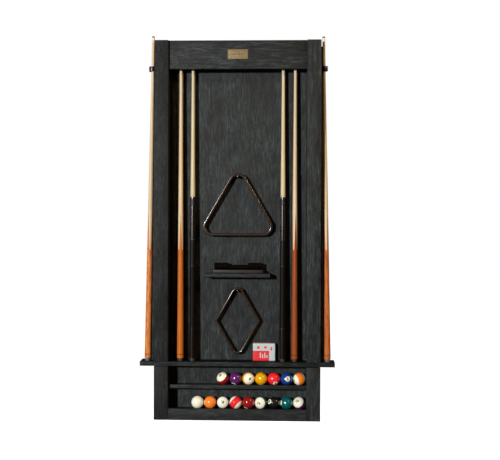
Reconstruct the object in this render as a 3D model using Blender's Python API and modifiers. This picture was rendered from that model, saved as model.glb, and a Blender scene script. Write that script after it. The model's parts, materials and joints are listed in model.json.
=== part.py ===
"""Wall cue rack with its play kit: six cues, sixteen balls, two ball racks, a brush and a chalk box.

The origin is the centre of the rack's rear face, which lies on the wall. +X runs to the right of
someone facing the rack, +Y into the wall and +Z up. Every piece is parented to an empty on the
rack's bottom edge, so the heights below are measured up from that edge. Lengths are in metres.
"""
import math

import bmesh
import bpy
from mathutils import Vector

# Fits
GAP = 0.0003            # air left between two pieces that touch
CUT_OVERSHOOT = 0.001   # how far a cutter runs out past the face it opens
EDGE_ROUND = 0.0015     # eased edges of the boards
MERGE = 0.00001

# Case
CASE_HEIGHT = 1.700
CASE_WIDTH = 0.745
CASE_DEPTH = 0.092
STILE_WIDTH = 0.063
PANEL_THICKNESS = 0.012
BOARD = 0.019
FRONT = -CASE_DEPTH
PANEL_FRONT = -PANEL_THICKNESS
INNER_X = CASE_WIDTH / 2 - STILE_WIDTH
OUTER_X = CASE_WIDTH / 2
BOARD_BACK = PANEL_FRONT - GAP

TOP_RAIL_HEIGHT = 0.128
TOP_RAIL_SETBACK = 0.012
BOTTOM_RAIL_HEIGHT = 0.052

# Cue shelf, which runs through both stiles and carries a cue on each wing
CUE_SHELF_WIDTH = 0.875
CUE_SHELF_TOP = 0.2615
CUE_SHELF_THICKNESS = 0.021
CUE_SHELF_SETBACK = 0.009
SOCKET_DEPTH = 0.004
SOCKET_RADIUS = 0.0175
CUE_FLOOR = CUE_SHELF_TOP - SOCKET_DEPTH

# Ball shelves: each floor lies below a front lip that keeps the balls in
BALL_SHELF_SETBACK = 0.019
BALL_SHELF_BOTTOM = 0.1389
BALL_SHELF_LIP_TOP = 0.1569
BALL_LIP_THICKNESS = 0.006
UPPER_BALL_FLOOR = 0.1522
LOWER_BALL_FLOOR = 0.0431
LOWER_BOARD_THICKNESS = 0.015

# Side battens: a flange behind each outer cue and a tapered tongue beside it
BATTEN_FOOT_WIDTH = 0.0275
BATTEN_TIP_WIDTH = 0.0180
BATTEN_FLANGE = 0.020
BATTEN_TOP = 1.683
TONGUE_FOOT_WIDTH = 0.0150
TONGUE_TIP_WIDTH = 0.0045
TONGUE_DEPTH = 0.056
TONGUE_TOP = 1.550
RING_HEIGHT = 0.022
RING_BORE_RADIUS = 0.0093
RING_RADIUS = 0.0155
RING_OFFSET = 0.0018
RING_CENTRE_HEIGHT = 1.578
RING_FOOT_HALF_WIDTH = 0.006

# Bar behind the top rail that the inner cues' tips pass through
GUIDE_BAR_BOTTOM = 1.585
GUIDE_HOLE_RADIUS = 0.010

# Plate on the top rail
NAMEPLATE_SIZE = (0.090, 0.0015, 0.042)
NAMEPLATE_HEIGHT = 1.6377

# Keyhole hangers let into the back panel, 16 inches apart
HANGER_SPACING = 0.4064
HANGER_HEIGHT = 1.640
HANGER_SIZE = (0.020, 0.0015, 0.045)
HANGER_CORNER = 0.004
HANGER_POCKET_SIZE = (0.013, 0.032)
HANGER_POCKET_DEPTH = 0.008
KEYHOLE_HEAD_RADIUS = 0.0045
KEYHOLE_SLOT_HALF_WIDTH = 0.0022
KEYHOLE_HEAD_DROP = 0.007
KEYHOLE_SLOT_RISE = 0.009

# Cues: each one stands in a socket and leans back and inwards a little
CUE_FOOT_Y = -0.050
CUE_TOP_Y = -0.042
CUE_TOP_HEIGHT = 1.7275
OUTER_FOOT_X = 0.4055
OUTER_TOP_X = 0.3845
ORANGE_X = 0.258
BLACK_X = 0.2035
OUTER_LEFT_CUE_LENGTH = 1.470
OUTER_RIGHT_CUE_LENGTH = 1.4655
INNER_CUE_LENGTH = 1.440
SPLICE_HEIGHT = 0.680
PIN_JOINT_HEIGHT = 0.732
BUMPER_HEIGHT = 0.015
BUMPER_RADIUS = 0.0122
BUTT_RADIUS = 0.015
BUTT_EDGE = 0.0015
JOINT_RADIUS = 0.011
SHAFT_MID_RADIUS = 0.0092
SHAFT_MID_BELOW_TIP = 0.520
SHAFT_THIN_RADIUS = 0.0068
SHAFT_THIN_BELOW_TIP = 0.200
TIP_RADIUS = 0.0063

# Balls
BALL_RADIUS = 0.05715 / 2
BALL_PLAY = 0.0003
BALL_CENTRE_Y = -0.045
UPPER_ROW = (15, 4, 9, 1, 3, 2, 13)
LOWER_ROW = (0, 5, 10, 11, 7, 14, 8, 6, 12)
LAST_BALL_X = INNER_X - 2 * BALL_PLAY - BALL_RADIUS

# Ball racks that hang on pegs
PEG_RADIUS = 0.005
PEG_LENGTH = 0.037
PEG_NOSE = 0.0015
RACK_DEPTH = 0.031
RACK_BACK_CLEARANCE = 0.002
RACK_EDGE_ROUND = 0.0025
TRIANGLE_TOP = 1.1105
TRIANGLE_WALL = 0.013
TRIANGLE_CORNER_SPACING = 0.232
TRIANGLE_CORNER_RADIUS = 0.0425
DIAMOND_TOP = 0.5925
DIAMOND_WALL = 0.010
DIAMOND_WIDTH = 0.206
DIAMOND_CORNER_RADIUS = 0.028

# Brush and its shelf
BRUSH_SHELF_WIDTH = 0.294
BRUSH_SHELF_DEPTH = 0.059
BRUSH_SHELF_TOP = 0.657
BRUSH_SHELF_THICKNESS = 0.018
BRUSH_LENGTH = 0.2325
BRUSH_DEPTH = 0.044
BRUSH_X = 0.002
BRUSH_Y = -0.0420
BRUSH_BLOCK_HEIGHT = 0.016
BRUSH_BLOCK_ROUND = 0.004
BRISTLE_INSET = 0.002
BRISTLE_END_INSET = 0.006
BRISTLE_END_LENGTH = 0.061
BRISTLE_END_HEIGHT = 0.031
BRISTLE_MIDDLE_HEIGHT = 0.0215
BRISTLE_SLOPE = 0.004

# Chalk box
CHALK_BOX_SIZE = (0.100, 0.026, 0.078)
CHALK_BOX_X = 0.1203
CHALK_BOX_Y = -0.0275
CHALK_BOX_EDGE = 0.0008

# Facets
TURN_STEPS = 16
SOCKET_STEPS = 24
BALL_SEGMENTS = 20
BALL_RINGS = 10
ARC_STEPS = 6


def clear_scene():
    for obj in list(bpy.data.objects):
        bpy.data.objects.remove(obj, do_unlink=True)


def new_collection(name):
    collection = bpy.data.collections.new(name)
    bpy.context.scene.collection.children.link(collection)
    return collection


def new_material(name, colour, roughness, metallic=0.0):
    material = bpy.data.materials.new(name)
    material.use_nodes = True
    shader = material.node_tree.nodes["Principled BSDF"]
    shader.inputs["Base Color"].default_value = (*colour, 1.0)
    shader.inputs["Roughness"].default_value = roughness
    shader.inputs["Metallic"].default_value = metallic
    return material


clear_scene()
PARTS = new_collection("wall_cue_rack")
CUTTERS = new_collection("cutters")

BLACK_WOOD = new_material("black_wood", (0.040, 0.042, 0.041), 0.55)
DARK_RACK_WOOD = new_material("dark_rack_wood", (0.030, 0.012, 0.006), 0.25)
MAPLE = new_material("maple", (0.66, 0.50, 0.30), 0.30)
ORANGE_WOOD = new_material("orange_wood", (0.50, 0.17, 0.035), 0.28)
BLACK_LACQUER = new_material("black_lacquer", (0.012, 0.008, 0.007), 0.15)
RUBBER = new_material("rubber", (0.030, 0.035, 0.040), 0.75)
BLACK_PLASTIC = new_material("black_plastic", (0.015, 0.015, 0.016), 0.35)
AGED_BRASS = new_material("aged_brass", (0.42, 0.29, 0.12), 0.40, 1.0)
ZINC_STEEL = new_material("zinc_steel", (0.55, 0.55, 0.52), 0.35, 1.0)
BROWN_WOOD = new_material("brown_wood", (0.10, 0.045, 0.02), 0.35)
BRISTLE = new_material("bristle", (0.015, 0.010, 0.008), 0.85)
CARD = new_material("card", (0.75, 0.80, 0.82), 0.50)

BALL_COLOURS = {
    0: ("cream", (0.78, 0.72, 0.55)),
    1: ("yellow", (0.85, 0.47, 0.01)),
    2: ("blue", (0.015, 0.06, 0.28)),
    3: ("red", (0.72, 0.02, 0.02)),
    4: ("purple", (0.10, 0.012, 0.16)),
    5: ("orange", (0.85, 0.17, 0.02)),
    6: ("green", (0.0, 0.15, 0.11)),
    7: ("maroon", (0.25, 0.008, 0.01)),
    8: ("black", (0.01, 0.01, 0.01)),
}
BALL_RESIN = {
    number: new_material(f"{colour_name}_resin", colour, 0.08)
    for number, (colour_name, colour) in BALL_COLOURS.items()
}

BASE = bpy.data.objects.new("bottom_edge", None)
BASE.location = (0, 0, -CASE_HEIGHT / 2)
PARTS.objects.link(BASE)


def place(obj, material, location=(0, 0, 0), rotation=(0, 0, 0), parent=None):
    PARTS.objects.link(obj)
    obj.parent = parent or BASE
    obj.location = location
    obj.rotation_euler = rotation
    obj.data.materials.append(material)
    return obj


def add_empty(name, location, rotation=(0, 0, 0)):
    empty = bpy.data.objects.new(name, None)
    PARTS.objects.link(empty)
    empty.parent = BASE
    empty.location = location
    empty.rotation_euler = rotation
    return empty


def bevel(obj, width, segments=1):
    modifier = obj.modifiers.new("Eased edges", "BEVEL")
    modifier.width = width
    modifier.segments = segments
    modifier.limit_method = "ANGLE"


def box_mesh(name, size):
    mesh = bpy.data.meshes.new(name)
    bm = bmesh.new()
    bmesh.ops.create_cube(bm, size=1.0)
    bmesh.ops.scale(bm, vec=size, verts=bm.verts)
    bm.to_mesh(mesh)
    bm.free()
    return mesh


def add_box(name, material, x, y, z, edge=EDGE_ROUND, segments=1, parent=None):
    """A squared piece between a low and a high limit on each axis."""
    size = [high - low for low, high in (x, y, z)]
    centre = [(high + low) / 2 for low, high in (x, y, z)]
    obj = place(bpy.data.objects.new(name, box_mesh(name, size)), material, centre, parent=parent)
    if edge:
        bevel(obj, edge, segments)
    return obj


def cut(target, cutter):
    """Take the cutter's shape out of the target."""
    CUTTERS.objects.link(cutter)
    cutter.parent = BASE
    cutter.hide_render = True
    cutter.display_type = "WIRE"
    modifier = target.modifiers.new(cutter.name, "BOOLEAN")
    modifier.operation = "DIFFERENCE"
    modifier.object = cutter


def cut_box(target, name, x, y, z):
    size = [high - low for low, high in (x, y, z)]
    cutter = bpy.data.objects.new(name, box_mesh(name, size))
    cutter.location = [(high + low) / 2 for low, high in (x, y, z)]
    cut(target, cutter)


def cut_round(target, name, centre, radius, depth):
    """Take out an upright cylinder whose middle is at the centre."""
    mesh = bpy.data.meshes.new(name)
    bm = bmesh.new()
    bmesh.ops.create_cone(bm, cap_ends=True, segments=SOCKET_STEPS,
                          radius1=radius, radius2=radius, depth=depth)
    bm.to_mesh(mesh)
    bm.free()
    cutter = bpy.data.objects.new(name, mesh)
    cutter.location = centre
    cut(target, cutter)


def add_turned(name, material, profile, parent, location=(0, 0, 0), rotation=(0, 0, 0)):
    """A piece turned about its own Z; the profile is (radius, height) from top to bottom."""
    mesh = bpy.data.meshes.new(name)
    edges = [(i, i + 1) for i in range(len(profile) - 1)]
    mesh.from_pydata([(radius, 0, height) for radius, height in profile], edges, [])
    obj = place(bpy.data.objects.new(name, mesh), material, location, rotation, parent)
    screw = obj.modifiers.new("Turn", "SCREW")
    screw.steps = TURN_STEPS
    screw.render_steps = TURN_STEPS
    screw.use_merge_vertices = True
    screw.merge_threshold = MERGE
    screw.use_smooth_shade = True
    return obj


def add_outline(name, material, loops, thickness, location, rotation=(0, 0, 0), edge=0.0):
    """A flat outline with holes, extruded both ways from its own XY plane."""
    curve = bpy.data.curves.new(name, "CURVE")
    curve.dimensions = "2D"
    curve.fill_mode = "BOTH"
    curve.extrude = thickness / 2
    for loop in loops:
        spline = curve.splines.new("POLY")
        spline.points.add(len(loop) - 1)
        for point, (x, y) in zip(spline.points, loop):
            point.co = (x, y, 0, 1)
        spline.use_cyclic_u = True
    obj = place(bpy.data.objects.new(name, curve), material, location, rotation)
    weld = obj.modifiers.new("Weld", "WELD")
    weld.merge_threshold = MERGE
    if edge:
        bevel(obj, edge)
    return obj


def arc(centre, radius, start, end, steps=ARC_STEPS):
    """Points along an arc, both ends included; angles in degrees."""
    angles = [math.radians(start + (end - start) * i / steps) for i in range(steps + 1)]
    return [(centre[0] + radius * math.cos(a), centre[1] + radius * math.sin(a)) for a in angles]


def rounded_polygon(corners, radii):
    """A convex outline, anticlockwise, with its own radius at each corner."""
    points = []
    for i, corner in enumerate(corners):
        here = Vector(corner)
        if radii[i] == 0:
            points.append(tuple(here))
            continue
        back = (Vector(corners[i - 1]) - here).normalized()
        ahead = (Vector(corners[(i + 1) % len(corners)]) - here).normalized()
        half_angle = back.angle(ahead) / 2
        centre = here + (back + ahead).normalized() * (radii[i] / math.sin(half_angle))
        tangent = here + back * (radii[i] / math.tan(half_angle)) - centre
        start = math.degrees(math.atan2(tangent.y, tangent.x))
        sweep = 180 - 2 * math.degrees(half_angle)
        points += arc(centre, radii[i], start, start + sweep)
    return points


def build_case():
    stiles = (("left", -OUTER_X, -INNER_X), ("right", INNER_X, OUTER_X))
    shelf_bottom = CUE_SHELF_TOP - CUE_SHELF_THICKNESS
    for side, low, high in stiles:
        add_box(f"{side}_upper_stile", BLACK_WOOD, (low, high), (FRONT, 0),
                (CUE_SHELF_TOP + GAP, CASE_HEIGHT))
        add_box(f"{side}_lower_stile", BLACK_WOOD, (low, high), (FRONT, 0),
                (0, shelf_bottom - GAP))
    between = (-INNER_X + GAP, INNER_X - GAP)
    rail_front = FRONT + TOP_RAIL_SETBACK
    add_box("top_rail", BLACK_WOOD, between, (rail_front, rail_front + BOARD),
            (CASE_HEIGHT - TOP_RAIL_HEIGHT, CASE_HEIGHT))
    add_box("bottom_rail", BLACK_WOOD, between, (FRONT, FRONT + BOARD), (0, BOTTOM_RAIL_HEIGHT))
    add_box("lower_ball_board", BLACK_WOOD, between, (FRONT + BOARD + GAP, BOARD_BACK),
            (LOWER_BALL_FLOOR - LOWER_BOARD_THICKNESS, LOWER_BALL_FLOOR))


def build_ball_shelf():
    """The upper ball shelf, rebated behind a thin front lip."""
    front = FRONT + BALL_SHELF_SETBACK
    shelf = add_box("ball_shelf", BLACK_WOOD, (-INNER_X + GAP, INNER_X - GAP), (front, BOARD_BACK),
                    (BALL_SHELF_BOTTOM, BALL_SHELF_LIP_TOP))
    cut_box(shelf, "ball_shelf_rebate", (-INNER_X, INNER_X),
            (front + BALL_LIP_THICKNESS, BOARD_BACK + CUT_OVERSHOOT),
            (UPPER_BALL_FLOOR, BALL_SHELF_LIP_TOP + CUT_OVERSHOOT))


def hanger_sides():
    return (("left", -HANGER_SPACING / 2), ("right", HANGER_SPACING / 2))


def build_back_panel():
    """The panel between the stiles, pocketed at the rear for the keyhole hangers."""
    panel = add_box("back_panel", BLACK_WOOD, (-INNER_X + GAP, INNER_X - GAP), (PANEL_FRONT, 0),
                    (0, CASE_HEIGHT), edge=0)
    half_width = HANGER_SIZE[0] / 2 + GAP
    half_height = HANGER_SIZE[2] / 2 + GAP
    for side, x in hanger_sides():
        cut_box(panel, f"{side}_hanger_seat", (x - half_width, x + half_width),
                (-HANGER_SIZE[1] - GAP, CUT_OVERSHOOT),
                (HANGER_HEIGHT - half_height, HANGER_HEIGHT + half_height))
        pocket_x = HANGER_POCKET_SIZE[0] / 2
        pocket_z = HANGER_POCKET_SIZE[1] / 2
        cut_box(panel, f"{side}_screw_pocket", (x - pocket_x, x + pocket_x),
                (-HANGER_POCKET_DEPTH, CUT_OVERSHOOT),
                (HANGER_HEIGHT - pocket_z, HANGER_HEIGHT + pocket_z))


def keyhole_outline():
    """A round hole for the screw's head with a slot above it for the shank."""
    mouth = math.degrees(math.asin(KEYHOLE_SLOT_HALF_WIDTH / KEYHOLE_HEAD_RADIUS))
    head = arc((0, -KEYHOLE_HEAD_DROP), KEYHOLE_HEAD_RADIUS, 90 + mouth, 450 - mouth, 2 * ARC_STEPS)
    slot = arc((0, KEYHOLE_SLOT_RISE), KEYHOLE_SLOT_HALF_WIDTH, 0, 180)
    return head + slot


def build_hangers():
    half_width = HANGER_SIZE[0] / 2
    half_height = HANGER_SIZE[2] / 2
    corners = ((-half_width, -half_height), (half_width, -half_height),
               (half_width, half_height), (-half_width, half_height))
    plate = rounded_polygon(corners, (HANGER_CORNER,) * 4)
    for side, x in hanger_sides():
        add_outline(f"{side}_keyhole_hanger", ZINC_STEEL, [plate, keyhole_outline()],
                    HANGER_SIZE[1], (x, -HANGER_SIZE[1] / 2, HANGER_HEIGHT), (math.pi / 2, 0, 0))


def cue_point(foot_x, top_x, height):
    """Where a cue's axis passes a height."""
    share = (height - CUE_FLOOR) / (CUE_TOP_HEIGHT - CUE_FLOOR)
    x = foot_x + (top_x - foot_x) * share
    y = CUE_FOOT_Y + (CUE_TOP_Y - CUE_FOOT_Y) * share
    return Vector((x, y, height))


def build_cue_shelf():
    """One board, notched round the back panel, with a shallow socket for each cue."""
    half = CUE_SHELF_WIDTH / 2
    bottom = CUE_SHELF_TOP - CUE_SHELF_THICKNESS
    shelf = add_box("cue_shelf", BLACK_WOOD, (-half, half), (FRONT + CUE_SHELF_SETBACK, 0),
                    (bottom, CUE_SHELF_TOP))
    cut_box(shelf, "panel_notch", (-INNER_X, INNER_X), (BOARD_BACK, CUT_OVERSHOOT),
            (bottom - CUT_OVERSHOOT, CUE_SHELF_TOP + CUT_OVERSHOOT))
    for name, _, foot_x, _, _ in CUES:
        middle = CUE_FLOOR + SOCKET_DEPTH
        cut_round(shelf, f"{name}_socket", (foot_x, CUE_FOOT_Y, middle), SOCKET_RADIUS,
                  2 * SOCKET_DEPTH)


def build_guide_bar():
    """The bored bar between the top rail and the back panel."""
    top = GUIDE_BAR_BOTTOM + BOARD
    front = FRONT + TOP_RAIL_SETBACK + BOARD + GAP
    bar = add_box("cue_guide_bar", BLACK_WOOD, (-INNER_X + GAP, INNER_X - GAP), (front, BOARD_BACK),
                  (GUIDE_BAR_BOTTOM, top), edge=0)
    for name, _, foot_x, top_x, length in CUES:
        if length == INNER_CUE_LENGTH:
            centre = cue_point(foot_x, top_x, (GUIDE_BAR_BOTTOM + top) / 2)
            cut_round(bar, f"{name}_guide_hole", centre, GUIDE_HOLE_RADIUS, 2 * BOARD)


def ring_outline(sign, foot_length):
    """A ring seen from above, with a flat foot towards the side of the case."""
    foot_angle = math.degrees(math.asin(RING_FOOT_HALF_WIDTH / RING_RADIUS))
    rim = arc((RING_OFFSET, 0), RING_RADIUS, foot_angle - 180, 180 - foot_angle, 3 * ARC_STEPS)
    outline = rim + [(-foot_length, RING_FOOT_HALF_WIDTH), (-foot_length, -RING_FOOT_HALF_WIDTH)]
    return [(sign * x, y) for x, y in outline]


def batten_mesh(name, sign):
    """A rebated batten: an L from below that narrows upwards, its forward leg stopping short."""
    inner, outer, outer_tip, foot, tip = (
        sign * (OUTER_X + reach) for reach in
        (GAP, BATTEN_FOOT_WIDTH, BATTEN_TIP_WIDTH, TONGUE_FOOT_WIDTH, TONGUE_TIP_WIDTH))
    front, rebate, bottom = -TONGUE_DEPTH, -BATTEN_FLANGE, CUE_SHELF_TOP + GAP
    points = [(inner, 0, bottom), (inner, front, bottom), (foot, front, bottom),
              (foot, rebate, bottom), (outer, rebate, bottom), (outer, 0, bottom),
              (inner, front, TONGUE_TOP), (tip, front, TONGUE_TOP), (tip, rebate, TONGUE_TOP),
              (inner, rebate, TONGUE_TOP), (inner, 0, BATTEN_TOP), (inner, rebate, BATTEN_TOP),
              (outer_tip, rebate, BATTEN_TOP), (outer_tip, 0, BATTEN_TOP)]
    faces = [(0, 1, 2, 3, 4, 5), (0, 5, 13, 10), (0, 1, 6, 9, 11, 10), (1, 2, 7, 6),
             (2, 3, 8, 7), (6, 7, 8, 9), (3, 4, 12, 11, 9, 8), (4, 5, 13, 12), (10, 11, 12, 13)]
    bm = bmesh.new()
    verts = [bm.verts.new(point) for point in points]
    for face in faces:
        bm.faces.new([verts[i] for i in face])
    bmesh.ops.recalc_face_normals(bm, faces=bm.faces)
    mesh = bpy.data.meshes.new(name)
    bm.to_mesh(mesh)
    bm.free()
    return mesh


def build_outer_cue_holders():
    bore = arc((0, 0), RING_BORE_RADIUS, 0, 360, 3 * ARC_STEPS)[:-1]
    for side, sign in (("left", -1), ("right", 1)):
        name = f"{side}_side_batten"
        place(bpy.data.objects.new(name, batten_mesh(name, sign)), BLACK_WOOD)
        centre = cue_point(sign * OUTER_FOOT_X, sign * OUTER_TOP_X, RING_CENTRE_HEIGHT)
        foot_length = abs(centre.x) - OUTER_X - GAP
        add_outline(f"{side}_cue_ring", BLACK_PLASTIC, [ring_outline(sign, foot_length), bore],
                    RING_HEIGHT, centre)


def build_nameplate():
    width, thickness, height = NAMEPLATE_SIZE
    back = FRONT + TOP_RAIL_SETBACK - GAP
    add_box("nameplate", AGED_BRASS, (-width / 2, width / 2), (back - thickness, back),
            (NAMEPLATE_HEIGHT - height / 2, NAMEPLATE_HEIGHT + height / 2), edge=0)


def build_cue(name, butt_material, foot_x, top_x, length, joint_height):
    """A rubber bumper, a butt and a shaft on one axis, which is the way the cue lifts out."""
    foot = cue_point(foot_x, top_x, CUE_FLOOR)
    direction = cue_point(foot_x, top_x, CUE_TOP_HEIGHT) - foot
    rotation = direction.to_track_quat("Z", "Y").to_euler()
    axis = add_empty(f"{name}_axis", foot + direction.normalized() * GAP, rotation)
    add_turned(f"{name}_bumper", RUBBER, [
        (0, BUMPER_HEIGHT),
        (BUMPER_RADIUS, BUMPER_HEIGHT),
        (BUMPER_RADIUS, 2 * BUTT_EDGE),
        (BUMPER_RADIUS - BUTT_EDGE, 0),
        (0, 0),
    ], axis)
    butt_bottom = BUMPER_HEIGHT + GAP
    add_turned(f"{name}_butt", butt_material, [
        (0, joint_height),
        (JOINT_RADIUS, joint_height),
        (BUTT_RADIUS, butt_bottom + BUTT_EDGE),
        (BUTT_RADIUS - BUTT_EDGE, butt_bottom),
        (0, butt_bottom),
    ], axis)
    add_turned(f"{name}_shaft", MAPLE, [
        (0, length),
        (TIP_RADIUS - BUTT_EDGE, length),
        (TIP_RADIUS, length - BUTT_EDGE),
        (SHAFT_THIN_RADIUS, length - SHAFT_THIN_BELOW_TIP),
        (SHAFT_MID_RADIUS, length - SHAFT_MID_BELOW_TIP),
        (JOINT_RADIUS, joint_height + GAP),
        (0, joint_height + GAP),
    ], axis)


CUES = (
    ("outer_left_cue", ORANGE_WOOD, -OUTER_FOOT_X, -OUTER_TOP_X, OUTER_LEFT_CUE_LENGTH),
    ("inner_left_orange_cue", ORANGE_WOOD, -ORANGE_X, -ORANGE_X, INNER_CUE_LENGTH),
    ("inner_left_black_cue", BLACK_LACQUER, -BLACK_X, -BLACK_X, INNER_CUE_LENGTH),
    ("inner_right_black_cue", BLACK_LACQUER, BLACK_X, BLACK_X, INNER_CUE_LENGTH),
    ("inner_right_orange_cue", ORANGE_WOOD, ORANGE_X, ORANGE_X, INNER_CUE_LENGTH),
    ("outer_right_cue", ORANGE_WOOD, OUTER_FOOT_X, OUTER_TOP_X, OUTER_RIGHT_CUE_LENGTH),
)


def build_cues():
    for name, butt_material, foot_x, top_x, length in CUES:
        joint_height = PIN_JOINT_HEIGHT if butt_material is BLACK_LACQUER else SPLICE_HEIGHT
        build_cue(name, butt_material, foot_x, top_x, length, joint_height)


def ball_mesh():
    mesh = bpy.data.meshes.new("ball")
    bm = bmesh.new()
    bmesh.ops.create_uvsphere(bm, u_segments=BALL_SEGMENTS, v_segments=BALL_RINGS, radius=BALL_RADIUS)
    bm.to_mesh(mesh)
    bm.free()
    mesh.shade_smooth()
    return mesh


def build_balls():
    """Two rows that start against the right stile; a stripe shares the colour seven below it."""
    for row, floor in ((UPPER_ROW, UPPER_BALL_FLOOR), (LOWER_ROW, LOWER_BALL_FLOOR)):
        for places_from_right, number in enumerate(reversed(row)):
            name = f"ball_{number:02d}" if number else "cue_ball"
            x = LAST_BALL_X - places_from_right * (2 * BALL_RADIUS + BALL_PLAY)
            colour = number if number <= 8 else number - 8
            place(bpy.data.objects.new(name, ball_mesh()), BALL_RESIN[colour],
                  (x, BALL_CENTRE_Y, floor + GAP + BALL_RADIUS))


def add_peg(name, height):
    """A round peg that stands straight out of the back panel."""
    add_turned(name, BLACK_LACQUER, [
        (0, PEG_LENGTH),
        (PEG_RADIUS - PEG_NOSE, PEG_LENGTH),
        (PEG_RADIUS, PEG_LENGTH - PEG_NOSE),
        (PEG_RADIUS, 0),
        (0, 0),
    ], BASE, (0, BOARD_BACK, height), (math.pi / 2, 0, 0))


def add_hung_rack(name, peg_height, outer, inner):
    """A ball rack whose outline is drawn round the peg's axis, its hinge."""
    y = PANEL_FRONT - RACK_BACK_CLEARANCE - RACK_DEPTH / 2
    add_outline(name, DARK_RACK_WOOD, [outer, inner], RACK_DEPTH, (0, y, peg_height),
                (math.pi / 2, 0, 0), edge=RACK_EDGE_ROUND)


def triangle_loop(apex, corner_radius):
    """An equilateral outline, point up, with the arc's top at the apex height."""
    side = TRIANGLE_CORNER_SPACING + 2 * corner_radius * math.sqrt(3)
    tip = apex + corner_radius
    base = tip - side * math.sqrt(3) / 2
    corners = ((-side / 2, base), (side / 2, base), (0, tip))
    return rounded_polygon(corners, (corner_radius,) * 3)


def build_triangle():
    peg_height = TRIANGLE_TOP - TRIANGLE_WALL - GAP - PEG_RADIUS
    add_peg("triangle_peg", peg_height)
    inner_apex = PEG_RADIUS + GAP
    outer = triangle_loop(inner_apex + TRIANGLE_WALL, TRIANGLE_CORNER_RADIUS)
    inner = triangle_loop(inner_apex, TRIANGLE_CORNER_RADIUS - TRIANGLE_WALL)
    add_hung_rack("triangle_rack", peg_height, outer, inner)


def diamond_loop(apex, half_width, corner_radius):
    """A rhombus of two equilateral halves, rounded at its top and bottom."""
    half_height = half_width * math.sqrt(3)
    middle = apex + corner_radius - half_height
    corners = ((0, middle - half_height), (half_width, middle),
               (0, middle + half_height), (-half_width, middle))
    return rounded_polygon(corners, (corner_radius, 0, corner_radius, 0))


def build_diamond():
    peg_height = DIAMOND_TOP - DIAMOND_WALL - GAP - PEG_RADIUS
    add_peg("diamond_peg", peg_height)
    inner_apex = PEG_RADIUS + GAP
    half_width = DIAMOND_WIDTH / 2
    inner_half_width = half_width - DIAMOND_WALL * 2 / math.sqrt(3)
    outer = diamond_loop(inner_apex + DIAMOND_WALL, half_width, DIAMOND_CORNER_RADIUS)
    inner = diamond_loop(inner_apex, inner_half_width, DIAMOND_CORNER_RADIUS - DIAMOND_WALL)
    add_hung_rack("diamond_rack", peg_height, outer, inner)


def build_brush():
    """A table brush lying on its back on a small shelf, bristles up and longest at its ends."""
    half_shelf = BRUSH_SHELF_WIDTH / 2
    add_box("brush_shelf", BLACK_WOOD, (-half_shelf, half_shelf),
            (PANEL_FRONT - BRUSH_SHELF_DEPTH, BOARD_BACK),
            (BRUSH_SHELF_TOP - BRUSH_SHELF_THICKNESS, BRUSH_SHELF_TOP))
    half_length = BRUSH_LENGTH / 2
    block_bottom = BRUSH_SHELF_TOP + GAP
    block_top = block_bottom + BRUSH_BLOCK_HEIGHT
    add_box("brush_block", BROWN_WOOD, (BRUSH_X - half_length, BRUSH_X + half_length),
            (BRUSH_Y - BRUSH_DEPTH / 2, BRUSH_Y + BRUSH_DEPTH / 2), (block_bottom, block_top),
            edge=BRUSH_BLOCK_ROUND, segments=2)
    end = half_length - BRISTLE_END_INSET
    step = half_length - BRISTLE_END_LENGTH
    outline = (
        (-end, 0), (end, 0),
        (end, BRISTLE_END_HEIGHT), (step, BRISTLE_END_HEIGHT),
        (step - BRISTLE_SLOPE, BRISTLE_MIDDLE_HEIGHT),
        (-step + BRISTLE_SLOPE, BRISTLE_MIDDLE_HEIGHT),
        (-step, BRISTLE_END_HEIGHT), (-end, BRISTLE_END_HEIGHT),
    )
    add_outline("brush_bristles", BRISTLE, [outline], BRUSH_DEPTH - 4 * BRISTLE_INSET,
                (BRUSH_X, BRUSH_Y, block_top + GAP), (math.pi / 2, 0, 0))


def build_chalk_box():
    width, depth, height = CHALK_BOX_SIZE
    bottom = CUE_SHELF_TOP + GAP
    add_box("chalk_box", CARD, (CHALK_BOX_X - width / 2, CHALK_BOX_X + width / 2),
            (CHALK_BOX_Y - depth / 2, CHALK_BOX_Y + depth / 2), (bottom, bottom + height),
            edge=CHALK_BOX_EDGE)


build_case()
build_ball_shelf()
build_back_panel()
build_hangers()
build_cue_shelf()
build_guide_bar()
build_outer_cue_holders()
build_nameplate()
build_cues()
build_balls()
build_triangle()
build_diamond()
build_brush()
build_chalk_box()
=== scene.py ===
"""The looks of the wall cue rack: its boards, cues, balls, ball racks, brush, chalk box and studio.

Lengths are in metres in the model's own frame: +X to the right of someone facing the rack, +Y into
the wall, +Z up, with the origin in the middle of the case's rear face.
"""
import json
import math
import random

import bmesh
import bpy
from mathutils import Matrix, Quaternion, Vector


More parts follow.
